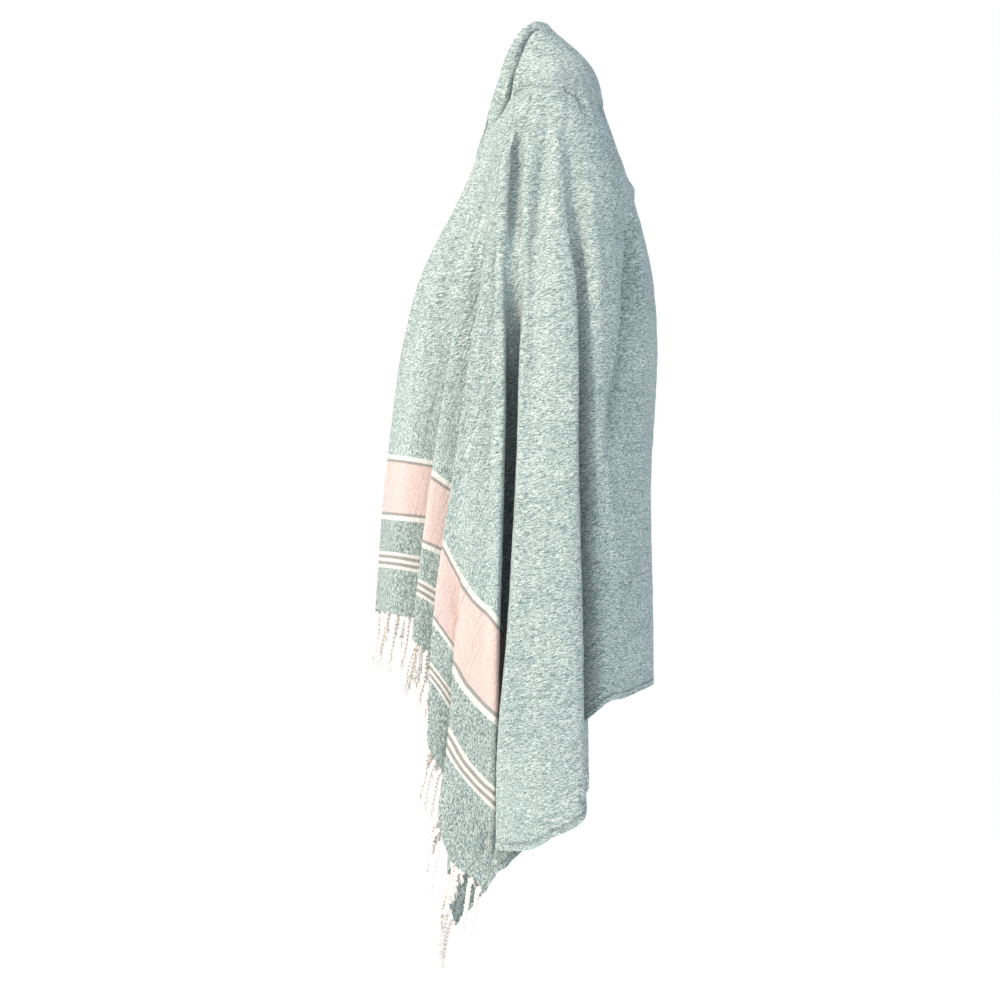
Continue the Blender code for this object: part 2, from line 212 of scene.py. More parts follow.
def hang(stations, end):
    """One fall line as points from the neck edge to its lower end, the last few close together."""
    places = lengths_along(stations)
    reach = np.linspace(0, places[-1] * FALL_SPARE, FINE_STEPS)
    inside = np.minimum(reach, places[-1])
    line = smooth_curve(places, stations, inside)
    line += (reach - inside)[:, None] * unit(stations[-1] - stations[-2])
    stop = np.interp(end, -line[:, 2], reach)
    hem_step = HEM_WIDTH / MM / (HEM_ROWS - 1)
    hem = stop - hem_step * np.arange(HEM_ROWS - 1, -1, -1)
    collar = COLLAR_STEP * np.arange(COLLAR_ROWS)
    parts = np.linspace(0, 1, ROWS - HEM_ROWS - COLLAR_ROWS + 2)[1:-1] ** ROW_CROWDING
    between = collar[-1] + (hem[0] - collar[-1]) * parts
    rows = np.concatenate([collar, between, hem])
    return point_at(rows, reach, line)


def column_shares(count):
    """Where the columns lie between each two fold lines: evenly, but crowded towards the two front edges."""
    shares = []
    for k in range(count):
        steps = NEAR_STEPS if k < len(NEAR_FOLDS) else FAR_STEPS
        even = np.arange(steps) / steps
        if k == 0:
            even = even**EDGE_CROWDING
        if k == count - 1:
            even = 1 - (1 - even) ** EDGE_CROWDING
        shares.append(even)
    return shares


def whole_cloth():
    """The cloth's middle surface as columns of points, in metres, and each column's place in fold lines."""
    sided = [(NEAR, fold) for fold in NEAR_FOLDS] + [(NEAR, MIDDLE)] + [(FAR, fold) for fold in FAR_FOLDS]
    folds = [fold for _, fold in sided]
    stations = np.array([stations_of(fold, side) for side, fold in sided], float)
    shares = column_shares(len(folds) - 1)
    at = np.concatenate([k + share for k, share in enumerate(shares)] + [[len(folds) - 1]])
    corners = [k for k, fold in enumerate(folds) if fold.name == "corner"]
    breaks = [0, *corners, len(folds) - 1]
    ends = along_folds([(k, fold.end) for k, fold in enumerate(folds)] + list(ENDS_BETWEEN), at, breaks)
    columns = between_folds(stations, shares)
    surface = np.array([hang(column, end) for column, end in zip(columns, ends)]) * MM
    return surface, at, corners


def runs_through(points):
    """The direction of a chain of points at each of them, halfway between its runs before and after."""
    runs = unit(np.diff(points, axis=0))
    return np.concatenate([runs[:1], runs[:-1] + runs[1:], runs[-1:]])


def square_to(axes, vectors):
    """The part of each vector that is square to its axis, as a unit vector."""
    return unit(vectors - axes * np.sum(vectors * axes, axis=-1, keepdims=True))


def outward_normals(surface):
    """Unit normals of a grid of points, facing away from the wearer. On a fold they halve its angle."""
    down = unit(runs_through(surface.swapaxes(0, 1))).swapaxes(0, 1)
    runs = np.diff(surface, axis=0)
    along = np.zeros_like(surface)
    along[1:] += square_to(down[1:], runs)
    along[:-1] += square_to(down[:-1], runs)
    return unit(np.cross(down, along))


# Places on the flat cloth.


def lengths_along(points):
    steps = np.linalg.norm(np.diff(points, axis=0), axis=-1)
    return np.concatenate([[0], np.cumsum(steps)])


def column_at(at, fold):
    """The column that lies on a fold line."""
    return int(np.argmin(np.abs(at - fold)))


def flat_places(surface, at, corners):
    """Each point's u and v on the flat cloth, where every fall line is straight from the neck to its end."""
    folds = (corners[0], len(NEAR_FOLDS), corners[1])
    near_corner, middle, far_corner = (column_at(at, fold) for fold in folds)
    neck = lengths_along(surface[:, 0])
    neck -= neck[middle]
    edge = lengths_along(surface[:, -1])
    turns = edge[[0, near_corner, middle, far_corner, -1]]
    ends_u = np.interp(edge, turns, (-HALF_LENGTH, -HALF_LENGTH, 0, HALF_LENGTH, HALF_LENGTH))
    ends_v = np.interp(edge, turns, (0, FLAT_WIDTH, FLAT_WIDTH, FLAT_WIDTH, 0))
    ends = np.stack([ends_u, ends_v], axis=1)
    starts = np.stack([neck, np.zeros(len(at))], axis=1)
    flat = np.empty((*surface.shape[:2], 2))
    for column in range(len(at)):
        fall = lengths_along(surface[column])
        part = (fall / fall[-1])[:, None]
        flat[column] = starts[column] * (1 - part) + ends[column] * part
    return flat


# Where the stripes are seen on each visible section of the near front: how far from the short end the weave
# is, and x and drop of the places. A section runs between two fold lines, counted from the front edge.
Section = namedtuple("Section", "first last marks")
SECTIONS = (
    Section(-0.5, 2.3, (
        (196.5, ((-212, 471), (-188, 474), (-165, 478))),
        (117, ((-217, 549), (-196, 551), (-176, 553))),
        (65, ((-224, 604), (-204, 606), (-183, 610))),
        (0, ((-231, 673), (-207, 676), (-183, 679))),
    )),
    Section(2.7, 4.3, (
        (196.5, ((-157, 494), (-150, 499), (-140, 506))),
        (117, ((-166, 588), (-160, 590), (-152, 594))),
        (65, ((-177, 640), (-168, 645), (-159, 651))),
        (0, ((-181, 718), (-170, 722), (-162, 729))),
    )),
    Section(4.7, 6.3, (
        (196.5, ((-140, 592), (-133, 606), (-125, 621))),
        (117, ((-155, 688), (-143, 705), (-134, 718))),
        (65, ((-161, 750), (-150, 764), (-140, 779))),
        (0, ((-165, 838), (-158, 862), (-151, 893))),
    )),
    Section(6.7, 10.3, (
        (196.5, ((-121, 628), (-110, 646), (-98, 660), (-84, 672), (-74, 685))),
        (117, ((-130, 748), (-124, 763), (-110, 780), (-98, 794), (-84, 807), (-75, 815))),
        (65, ((-138, 840), (-127, 861), (-118, 874), (-109, 884), (-98, 897), (-88, 905), (-78, 915))),
        (0, ((-152, 925), (-135, 975), (-127, 998), (-110, 1014), (-91, 1036))),
        (20, ((-72, 1000),)),
        (28, ((-60, 990),)),
    )),
)
SECTION_BLEND = 0.35
PLATE_UNIT = 100  # of millimetres, which keeps the numbers near 1
PLATE_SOFTNESS = 0.002
STRIPE_REACH = (0.24, 0.34)  # beyond the stripes the plain layout takes over


def thin_plate(marks, places):
    """A smooth surface through the marks' distances, at the given places in the same plane."""
    known = np.array([place for _, row in marks for place in row], float) / PLATE_UNIT
    values = np.array([distance for distance, row in marks for _ in row], float) * MM

    def bend(first, second):
        apart = np.sum((first[:, None] - second[None]) ** 2, axis=2)
        return 0.5 * apart * np.log(apart + 1e-12)

    count = len(known)
    plane = np.concatenate([np.ones((count, 1)), known], axis=1)
    system = np.zeros((count + 3, count + 3))
    system[:count, :count] = bend(known, known) + PLATE_SOFTNESS * np.eye(count)
    system[:count, count:] = plane
    system[count:, :count] = plane.T
    weights = np.linalg.solve(system, np.concatenate([values, np.zeros(3)]))
    return bend(places, known) @ weights[:count] + weights[count] + places @ weights[count + 1 :]


def stripe_distances(surface, at, flat):
    """How far each point's weave is from its short end: as laid out flat, but on the near front as marked."""
    distance = HALF_LENGTH - np.abs(flat[..., 0])
    moved = distance.copy()
    for section in SECTIONS:
        inside = smooth_step(-SECTION_BLEND, 0, at - section.first)
        inside *= smooth_step(-SECTION_BLEND, 0, section.last - at)
        chosen = np.flatnonzero(inside > 0)
        places = surface[chosen][..., (0, 2)].reshape(-1, 2) * (1 / MM / PLATE_UNIT, -1 / MM / PLATE_UNIT)
        shown = thin_plate(section.marks, places).reshape(len(chosen), -1)
        share = inside[chosen, None] * (1 - smooth_step(*STRIPE_REACH, distance[chosen]))
        moved[chosen] += (shown - moved[chosen]) * share
    return moved


# Small folds and creases, each as its depth, its width and a path of places in the view from one side: x, or
# how far to the side of the middle in the view from the back, and drop. Depth is negative for a trough.
NEAR_CREASES = (
    # the shoulder and yoke
    (-11, 2, ((-4, -92), (-18, -87), (-28, -84), (-35, -76), (-43, -60), (-51, -40), (-56, -24), (-59, -4),
             (-64, 10), (-74, 30), (-84, 48))),
    (1.8, 5, ((-18, -95), (-34, -90), (-43, -78), (-52, -60), (-60, -40), (-66, -22), (-72, -2), (-80, 14))),
    (-6.5, 6, ((-66, 24), (-48, -4), (-18, -16), (2, -12), (18, -7), (30, 1), (40, 20), (56, 30))),
    (3, 10, ((-60, 40), (-44, 14), (-18, 2), (2, 6), (18, 14))),
    (-4, 4, ((0, -12), (14, -9), (24, -2), (38, 12), (46, 24), (58, 30))),
    (-6, 3, ((61, -6), (60, 4), (59, 14), (60, 24), (64, 34))),
    (3, 4, ((53, -4), (52, 8), (52, 20))),
    (-9, 8, ((-49, 26), (-50, 60), (-51, 100), (-52, 150), (-53, 210))),
    (6, 8, ((-62, 44), (-64, 80), (-65, 120), (-66, 170), (-66, 225))),
    (-5.5, 11, ((-13, 34), (-14, 90), (-22, 162), (-29, 217), (-31, 255), (-34, 310))),
    (2, 10, ((-30, 60), (-33, 120), (-36, 190))),
    (3, 9, ((0, 24), (4, 80), (2, 150), (4, 230))),
    (-7, 11, ((13, 26), (20, 72), (27, 137), (32, 215), (36, 290))),
    (4, 10, ((44, 95), (50, 160), (54, 230), (56, 310))),
    (-20, 12, ((92, 120), (99, 182), (98, 218), (94, 255), (91, 300), (86, 355), (76, 430), (68, 500))),
    (7, 9, ((112, 220), (112, 300), (110, 380), (108, 480))),
    (-5, 12, ((66, 520), (68, 600), (70, 690))),
    (-3, 9, ((108, 150), (98, 170), (84, 180))),
    # the front of the near side
    (-3, 8, ((-88, 105), (-100, 180), (-112, 262))),
    (-2.5, 7, ((-106, 120), (-126, 200), (-142, 275), (-150, 330))),
    (2, 12, ((-98, 110), (-116, 190), (-128, 250))),
    (-2, 9, ((-172, 240), (-190, 330), (-198, 420), (-200, 520))),
    (-2.2, 6, ((-134, 620), (-126, 680), (-128, 740))),
    (-2, 7, ((-150, 330), (-160, 420), (-170, 500))),
    (-7, 3.5, ((-82, 940), (-88, 962), (-96, 986), (-104, 1004))),
    (5, 4, ((-79, 935), (-87, 970), (-97, 1000))),
    (-7, 3, ((-76, 962), (-80, 984), (-92, 1016))),
    (2.5, 5, ((-98, 900), (-106, 940), (-114, 980))),
    (-1.8, 7, ((-80, 560), (-88, 650), (-92, 760))),
    # the near side panel
    (-1.6, 8, ((-34, 330), (-38, 430), (-44, 520))),
    (-1.4, 7, ((4, 420), (0, 540), (-2, 660))),
    (-1.6, 6, ((-44, 660), (-24, 640), (0, 632))),
    (-1.4, 6, ((-40, 760), (-16, 742), (14, 738))),
    (-1.4, 6, ((-46, 560), (-26, 545), (-6, 541))),
    (1.6, 8, ((-48, 850), (-14, 838), (24, 826))),
    (-2, 5, ((-52, 905), (-20, 898), (10, 880))),
    (-4, 3, ((-10, 940), (-4, 950), (0, 960))),
    (-4, 3, ((30, 908), (36, 920), (38, 932))),
    (-3, 3, ((-44, 962), (-42, 974), (-42, 984))),
    (3, 3, ((-68, 960), (-63, 971), (-58, 984))),
    # the near part of the back
    (-3, 7, ((98, 560), (112, 610), (120, 660))),
    (-4, 5, ((80, 648), (102, 622), (124, 582))),
    (-3.5, 5, ((74, 724), (98, 700), (122, 668))),
    (-3.5, 4, ((100, 764), (112, 742), (122, 716))),
    (-3, 3.5, ((112, 766), (119, 752), (124, 738))),
    (1.8, 8, ((66, 460), (74, 540), (80, 620))),
    (-1.8, 9, ((60, 330), (62, 420), (66, 500))),
)
BACK_CREASES = (
    (-5, 16, ((-60, 40), (-58, 140), (-66, 260), (-70, 380))),
    (-4, 14, ((34, 60), (40, 180), (36, 320), (44, 420))),
    (4, 18, ((-14, 110), (-10, 260), (-16, 420), (-12, 560))),
    (-3, 12, ((76, 250), (80, 400), (74, 560), (82, 690))),
    (-3, 13, ((-104, 360), (-100, 480), (-108, 620), (-102, 720))),
    (-2.5, 10, ((-40, 470), (-34, 580), (-42, 700))),
    (-2.5, 10, ((20, 520), (26, 620), (18, 740))),
    (-5, 7, ((-104, 34), (-60, 24), (-10, 21), (50, 24), (104, 32))),
    (4, 10, ((-70, 118), (-20, 124), (20, 124), (70, 118))),
    (-6, 18, ((-90, 60), (-20, 52), (20, 52), (90, 60))),
    (3, 10, ((120, 120), (132, 220), (128, 330))),
    (-2, 7, ((-130, 540), (-100, 566), (-70, 560))),
    (-2, 7, ((96, 610), (70, 640), (40, 642))),
)
FAR_CREASES = (
    (-4, 8, ((-70, 26), (-50, 0), (-22, -12), (0, -8), (20, 0), (34, 14), (52, 24))),
    (-6, 8, ((-46, 40), (-48, 100), (-50, 170), (-50, 240))),
    (-4.5, 9, ((-14, 60), (-18, 120), (-12, 200), (-16, 280))),
    (-5, 10, ((24, 40), (30, 110), (32, 190), (36, 270))),
    (3, 12, ((8, 90), (12, 190), (10, 300))),
    (-4, 9, ((84, 110), (92, 190), (88, 280), (78, 360))),
    (-1.6, 8, ((-20, 360), (-24, 480), (-22, 600))),
    (-1.6, 7, ((16, 420), (20, 540), (26, 640))),
    (-1.8, 6, ((-34, 700), (-8, 716), (24, 712))),
    (-1.6, 6, ((-30, 820), (0, 838), (34, 826))),
    (-3, 8, ((-94, 110), (-110, 190), (-120, 270))),
    (-2.2, 7, ((-90, 480), (-100, 580), (-104, 690))),
    (-2, 7, ((-168, 280), (-184, 380), (-192, 500))),
    (-2, 6, ((100, 600), (84, 636), (62, 650))),
)
# Each view's shares of x and y in a place's first number, the way it looks, and the creases seen in it.
View = namedtuple("View", "wide deep way creases")
VIEWS = (
    View(1, 0, (0, 1, 0), NEAR_CREASES),
    View(0, 1, (-1, 0, 0), BACK_CREASES),
    View(1, 0, (0, -1, 0), FAR_CREASES),
)
CREASE_SAMPLE = 0.4  # of its width, from one sample of its path to the next
CREASE_SAMPLES = 6  # at least
CREASE_REACH = 3  # widths to each side
CREASE_FADE_IN = 0.3  # share of its path
CREASE_FADE_OUT = 0.35
CREASE_SWING = 0.25  # how much its depth varies
CREASE_WAVES = 9

# Ripples of the whole surface: their height, their length down the fall and their width across it.
Ripple = namedtuple("Ripple", "height length width seed")
RIPPLES = (Ripple(1.6, 300, 60, 3.0), Ripple(0.8, 110, 28, 11.0))
CRINKLES = (Ripple(0.55, 60, 16, 23.0), Ripple(0.35, 26, 10, 37.0))
HEM_WAVES = (Ripple(1.8, 220, 55, 51.0),)
HEM_WAVE_REACH = 45
SETTLED = (-0.10, -0.04)  # the ripples begin between these drops, in metres


def cast(tree, view, places):
    """The points of the cloth that are seen at these places from one side."""
    way = Vector(view.way)
    starts = [(view.wide * across * MM, view.deep * across * MM, -drop * MM) for across, drop in places]
    hits = [tree.ray_cast(Vector(start) - way, way)[0] for start in starts]
    return np.array([tuple(hit) for hit in hits if hit is not None])


def add_crease(heights, points, tree, view, depth, width, path):
    """Adds how far one crease moves each point of the cloth out or in. It fades and varies along its path."""
    path = np.array(path, float)
    lengths = lengths_along(path)
    count = max(CREASE_SAMPLES, int(lengths[-1] / (CREASE_SAMPLE * width)))
    samples = cast(tree, view, smooth_curve(lengths, path, np.linspace(0, lengths[-1], count)))
    reach = CREASE_REACH * width * MM
    inside = np.all((points > samples.min(0) - reach) & (points < samples.max(0) + reach), axis=1)
    chosen = np.flatnonzero(inside)
    away = np.linalg.norm(points[chosen, None] - samples[None], axis=2)
    part = away.argmin(axis=1) / (len(samples) - 1)
    taper = smooth_step(0, CREASE_FADE_IN, part) * smooth_step(0, CREASE_FADE_OUT, 1 - part)
    uneven = 1 + CREASE_SWING * np.sin(CREASE_WAVES * part + path[0][1])
    heights[chosen] += depth * MM * taper * uneven * np.exp(-((away.min(axis=1) / (width * MM)) ** 2))


def ripple_heights(across, down, ripples):
    """Soft noise over the surface, stretched along one direction."""
    heights = np.zeros(across.shape)
    for ripple in ripples:
        rows = zip((across / (ripple.width * MM)).ravel(), (down / (ripple.length * MM)).ravel())
        waves = [noise.noise((a, b, ripple.seed)) for a, b in rows]
        heights += ripple.height * MM * np.array(waves).reshape(across.shape)
    return heights


def grid_cells(columns, rows):
    numbers = np.arange(columns * rows).reshape(columns, rows)
    corners = [numbers[:-1, :-1], numbers[:-1, 1:], numbers[1:, 1:], numbers[1:, :-1]]
    return np.stack(corners, axis=-1).reshape(-1, 4)


def shaped_cloth(surface, flat, tree):
    """The surface with its creases, ripples and wavy hem."""
    columns, rows = surface.shape[:2]
    points = surface.reshape(-1, 3)
    heights = np.zeros(len(points))
    for view in VIEWS:
        for crease in view.creases:
            add_crease(heights, points, tree, view, *crease)
    heights = heights.reshape(columns, rows)
    middle_row = rows // 2
    across = lengths_along(surface[:, middle_row])[:, None] * np.ones((1, rows))
    down = -surface[..., 2]
    settled = smooth_step(*SETTLED, down)
    heights += ripple_heights(across, down, RIPPLES) * settled
    heights += ripple_heights(flat[..., 1], flat[..., 0], CRINKLES)
    to_hem = FLAT_WIDTH - flat[..., 1]
    near_hem = np.exp(-((to_hem / (HEM_WAVE_REACH * MM)) ** 2))
    heights += ripple_heights(flat[..., 0], to_hem, HEM_WAVES) * near_hem
    return surface + outward_normals(surface) * heights[..., None]


# Meshes.


def new_object(name, data):
    obj = bpy.data.objects.new(name, data)
    bpy.context.scene.collection.objects.link(obj)
    return obj


def mesh_object(name, points, faces, material, attributes=()):
    mesh = bpy.data.meshes.new(name)
    mesh.from_pydata(points.tolist(), [], faces)
    mesh.materials.append(material)
    for label, kind, values in attributes:
        attribute = mesh.attributes.new(label, kind, "POINT")
        field = "vector" if kind == "FLOAT_VECTOR" else "value"
        attribute.data.foreach_set(field, np.ascontiguousarray(values, np.float32).ravel())
    mesh.shade_smooth()
    return new_object(name, mesh)


def rim_of(columns, rows):
    """The points round the outside of a grid, in order."""
    numbers = np.arange(columns * rows).reshape(columns, rows)
    sides = (numbers[:-1, 0], numbers[-1, :-1], numbers[:0:-1, -1], numbers[0, :0:-1])
    return np.concatenate(sides).tolist()


UV_MARGIN = 0.01
UV_OUTER = (0.25, 0.5)  # the middle of the outer face's half
UV_RIM_WIDTH = 0.6  # of the margin
UV_RIM = (0.235, 0.485)  # the rim's points lie further than this from that middle


def cloth_uv(mesh, flat, back):
    """Lays the outer face on the left half of the map, the inner one on the right and the rim beside them."""
    span = 1 - 2 * UV_MARGIN
    across = flat[..., 1].ravel() / FLAT_WIDTH
    along = (flat[..., 0].ravel() + HALF_LENGTH) / FLAT_LENGTH
    outer = np.stack([UV_MARGIN + across * (0.5 - 2 * UV_MARGIN), UV_MARGIN + along * span], axis=1)
    spots = np.concatenate([outer, outer + (0.5, 0.0)])
    layer = mesh.uv_layers.new(name="OFBake")
    corners = np.empty(len(mesh.loops), np.int32)
    mesh.loops.foreach_get("vertex_index", corners)
    places = spots[corners]
    for polygon in mesh.polygons:
        loops = np.array(polygon.loop_indices)
        inner = corners[loops] >= back
        if inner.any() and not inner.all():
            here = spots[corners[loops] % back]
            outside = here - UV_OUTER
            outside *= np.abs(outside) > UV_RIM
            places[loops] = here + np.sign(outside) * UV_MARGIN * UV_RIM_WIDTH * inner[:, None]
    layer.data.foreach_set("uv", places.astype(np.float32).ravel())


def build_cloth(surface, flat, stripe, material):
    """The cloth as one closed thin shell, thicker in the hem along its two long edges."""
    columns, rows = surface.shape[:2]
    normals = outward_normals(surface)
    to_edge = np.minimum(flat[..., 1], FLAT_WIDTH - flat[..., 1])
    hem = 1 - smooth_step(*HEM_STEP, to_edge)
    wall = (CLOTH_WALL + (HEM_WALL - CLOTH_WALL) * hem)[..., None]
    outer = (surface + normals * wall / 2).reshape(-1, 3)
    inner = (surface - normals * wall / 2).reshape(-1, 3)
    back = columns * rows
    cells = grid_cells(columns, rows)
    faces = cells.tolist() + (back + cells[:, ::-1]).tolist()
    rim = rim_of(columns, rows)
    for here, there in zip(rim, rim[1:] + rim[:1]):
        faces.append((here, there, back + there, back + here))
    places = np.concatenate([flat, np.zeros((*flat.shape[:2], 1))], axis=2).reshape(-1, 3)
    attributes = (
        ("flat", "FLOAT_VECTOR", np.concatenate([places, places])),
        ("stripe", "FLOAT", np.tile(stripe.ravel(), 2)),
        ("to_edge", "FLOAT", np.tile(to_edge.ravel(), 2)),
    )
    cloth = mesh_object("towel_cloth", np.concatenate([outer, inner]), faces, material, attributes)
    cloth.data.set_sharp_from_angle(angle=SHARP)
    cloth_uv(cloth.data, flat, back)
    return cloth


# The fringes.
CORD_SPACING = 16.0
CORD_LENGTH = 57.0
CORD_PITCH = 11.0
CORD_LEAVING = 8.0  # how far the cords run square to the edge before they hang
CORD_LEAN = -8.0  # how far forward the cords' lower ends hang
CORD_BEND = 1.5
CORD_WAVE = 0.9  # of half a wave
BARE = (31, 76)  # a gap in the near fringe, measured from the corner
NO_GAP = (0, 0)
NEAR_SEED = 7
FAR_SEED = 8
PLY_RADIUS = 1.85
PLY_OFFSET = 1.65
PLY_SIDES = 6
PLY_RINGS = 30
CORD_PLACES = (-0.12, 0.12)  # how far a cord may lie from its even place, as a share of the spacing
CORD_LENGTHS = (0.92, 1.04)
CORD_SWAYS = (-6.5, 6.5)
TWIST_STARTS = (0, 6)
KNOT_TURNS = 2.2
KNOT_RADIUS = 3.0
KNOT_HEIGHT = 4.4
KNOT_POINTS = 22
KNOT_CORD = 1.5
KNOT_BELLY = 0.2  # how much wider the coil is at its middle
KNOT_TAPER = 0.25
KNOT_SIDES = 6
TOP_KNOTS = (0.9, 1.05)
LAST_KNOTS = (1.0, 1.2)
TUFT_STRANDS = 9
TUFT_LENGTH = 15.0
TUFT_LENGTHS = (0.65, 1.1)
TUFT_START = 0.8
TUFT_SPREADS = (0.6, 2.6)
TUFT_CURLS = (-1.6, 1.6)
TUFT_RADIUS = 0.7
TUFT_TAPER = 0.45
TUFT_POINTS = 5
TUFT_SIDES = 4


def tube(centres, radii, sides):
    """Points and faces of a capped tube along a path."""
    tangents = unit(runs_through(centres))
    across = [np.eye(3)[0 if abs(tangents[0][0]) < 0.8 else 1]]
    for tangent in tangents:
        across.append(square_to(tangent, across[-1]))
    across = np.array(across[1:])
    up = np.cross(tangents, across)
    angles = np.arange(sides) * 2 * np.pi / sides
    ring = across[:, None] * np.cos(angles)[None, :, None] + up[:, None] * np.sin(angles)[None, :, None]
    points = (centres[:, None] + ring * np.asarray(radii).reshape(-1, 1, 1)).reshape(-1, 3)
    last = (len(centres) - 1) * sides
    faces = []
    for low in range(0, last, sides):
        for s in range(sides):
            t = (s + 1) % sides
            faces.append((low + s, low + t, low + sides + t, low + sides + s))
    faces += [tuple(range(sides - 1, -1, -1)), tuple(range(last, last + sides))]
    return points, faces


def joined(shapes, tones):
    """Many small shapes as one: their points, their faces and each point's tone."""
    counts = [len(points) for points, _ in shapes]
    starts = np.cumsum([0, *counts]).tolist()
    faces = []
    for start, (_, own) in zip(starts, shapes):
        faces += [tuple(start + corner for corner in face) for face in own]
    return np.concatenate([points for points, _ in shapes]), faces, np.repeat(tones, counts)


def cord_path(start, away, sway, length):
    """The line of one cord: it leaves the cloth squarely, then hangs with a slight sway."""
    reach = np.linspace(0, length, PLY_RINGS)
    leaving = CORD_LEAVING * (1 - np.exp(-reach / CORD_LEAVING))
    points = start + away * (leaving * MM)[:, None]
    points[:, 2] -= (reach - leaving) * MM
    part = reach / length
    points[:, :2] += np.outer(np.sin(part * np.pi * CORD_WAVE) * part, sway) * MM
    points[:, 0] += CORD_LEAN * MM * part**CORD_BEND
    return points


def plies(path, phase):
    """The two plies that twist round each other along a cord."""
    angles = (phase + lengths_along(path) / MM / CORD_PITCH * 2 * np.pi)[:, None]
    tangents = unit(runs_through(path))
    across = square_to(tangents, np.array([1.0, 0.2, 0.0]) * np.ones_like(tangents))
    up = np.cross(tangents, across)
    found = []
    for half in (0, np.pi):
        offset = across * np.cos(angles + half) + up * np.sin(angles + half)
        found.append(tube(path + offset * PLY_OFFSET * MM, np.full(len(path), PLY_RADIUS * MM), PLY_SIDES))
    return found


def swell(part, share):
    """A size that is full at the middle of a path and smaller by a share at both ends."""
    return 1 - share + share * np.sin(np.pi * part)


def knot(centre, tilt, size):
    """A small knot, as a coil of cord that lies slantwise round it."""
    t = np.linspace(0, 1, KNOT_POINTS)
    angle = t * KNOT_TURNS * 2 * np.pi
    radius = KNOT_RADIUS * size * swell(t, KNOT_BELLY)
    z = (0.5 - t) * KNOT_HEIGHT * size + np.cos(angle + tilt)
    path = centre + np.stack([np.cos(angle) * radius, np.sin(angle) * radius, z], axis=1) * MM
    return tube(path, KNOT_CORD * size * MM * swell(t, KNOT_TAPER), KNOT_SIDES)


def tuft(draws, top):
    """The loose ends of yarn below the last knot."""
    strands = []
    for _ in range(TUFT_STRANDS):
        angle = draws.uniform(0, 2 * np.pi)
        spread = draws.uniform(*TUFT_SPREADS)
        length = TUFT_LENGTH * draws.uniform(*TUFT_LENGTHS)
        t = np.linspace(0, 1, TUFT_POINTS)
        curl = draws.uniform(*TUFT_CURLS)
        x = np.cos(angle) * (TUFT_START + spread * t) + curl * t * t
        y = np.sin(angle) * (TUFT_START + spread * t) + curl * t * (1 - t)
        path = top + np.stack([x, y, -length * t], axis=1) * MM
        strands.append(tube(path, TUFT_RADIUS * MM * (1 - TUFT_TAPER * t), TUFT_SIDES))
    return strands


def build_fringe(name, edge, fall, seed, bare, material):
    """One joined mesh of the knotted cords along a short end, with none in the bare stretch."""
    draws = np.random.default_rng(seed)
    lengths = lengths_along(edge)
    along = unit(runs_through(edge))
    away = square_to(along, fall)
    count = int(round(lengths[-1] / MM / CORD_SPACING))
    shapes, tones = [], []
    for k in range(count):
        place = (k + 0.5 + draws.uniform(*CORD_PLACES)) / count * lengths[-1]
        if bare[0] < (lengths[-1] - place) / MM < bare[1]:
            continue
        start = point_at(place, lengths, edge)
        leave = unit(point_at(place, lengths, away))
        length = CORD_LENGTH * draws.uniform(*CORD_LENGTHS)
        path = cord_path(start, leave, draws.uniform(*CORD_SWAYS, 2), length)
        tone = draws.uniform(0, 1)
        shapes += plies(path, draws.uniform(*TWIST_STARTS))
        tones += [tone, draws.uniform(0, 1)]
        for spot, sizes in ((path[2], TOP_KNOTS), (path[-2], LAST_KNOTS)):
            shapes.append(knot(spot, draws.uniform(*TWIST_STARTS), draws.uniform(*sizes)))
            tones.append(tone)
        strands = tuft(draws, path[-1])
        shapes += strands
        tones += [draws.uniform(0, 1) for _ in strands]
    points, faces, shades = joined(shapes, tones)
    return mesh_object(name, points, faces, material, (("tone", "FLOAT", shades),))


# Materials.


def add_node(tree, kind, inputs=(), **settings):
    node = tree.nodes.new(kind)
    for key, value in settings.items():
        setattr(node, key, value)
    for key, value in dict(inputs).items():
        if isinstance(value, bpy.types.NodeSocket):
            tree.links.new(value, node.inputs[key])
        else:
            node.inputs[key].default_value = value
    return node


def maths(tree, operation, *values):
    return add_node(tree, "ShaderNodeMath", enumerate(values), operation=operation).outputs[0]


def weighted(tree, *parts):
    """The sum of the values, each times its share."""
    total = 0.0
    for value, share in parts:
        total = maths(tree, "ADD", maths(tree, "MULTIPLY", value, share), total)
    return total


def noise_texture(tree, vector, look):
    scaled = add_node(tree, "ShaderNodeVectorMath", {0: vector, 1: look.scale}, operation="MULTIPLY")
    inputs = {"Vector": scaled.outputs[0], "Scale": 1.0, "Detail": look.detail}
    inputs.update({"Roughness": look.roughness, "Distortion": look.distortion})
    return add_node(tree, "ShaderNodeTexNoise", inputs).outputs[0]


def mix_colours(tree, share, first, second, blend="MIX"):
    inputs = {0: share, 6: first, 7: second}
    return add_node(tree, "ShaderNodeMix", inputs, data_type="RGBA", blend_type=blend).outputs[2]


def tinted(tree, colour, tint):
    return mix_colours(tree, 1.0, colour, tint, "MULTIPLY")


def bumped(tree, height, settings, **more):
    """The normal with a bump of the given height."""
    return add_node(tree, "ShaderNodeBump", {"Height": height, **settings, **more}).outputs[0]


def finish(tree, shader, colour, normal):
    tree.links.new(colour, shader.inputs["Base Color"])
    tree.links.new(normal, shader.inputs["Normal"])


def colour_ramp(tree, share, stops, interpolation="LINEAR"):
    """Colour and alpha along a ramp of (place, colour) stops."""
    node = add_node(tree, "ShaderNodeValToRGB", {0: share})
    ramp = node.color_ramp
    ramp.interpolation = interpolation
    while len(ramp.elements) < len(stops):
        ramp.elements.new(0.5)
    for element, (place, colour) in zip(ramp.elements, stops):
        element.position = place
        element.color = colour
    return node.outputs[0], node.outputs[1]


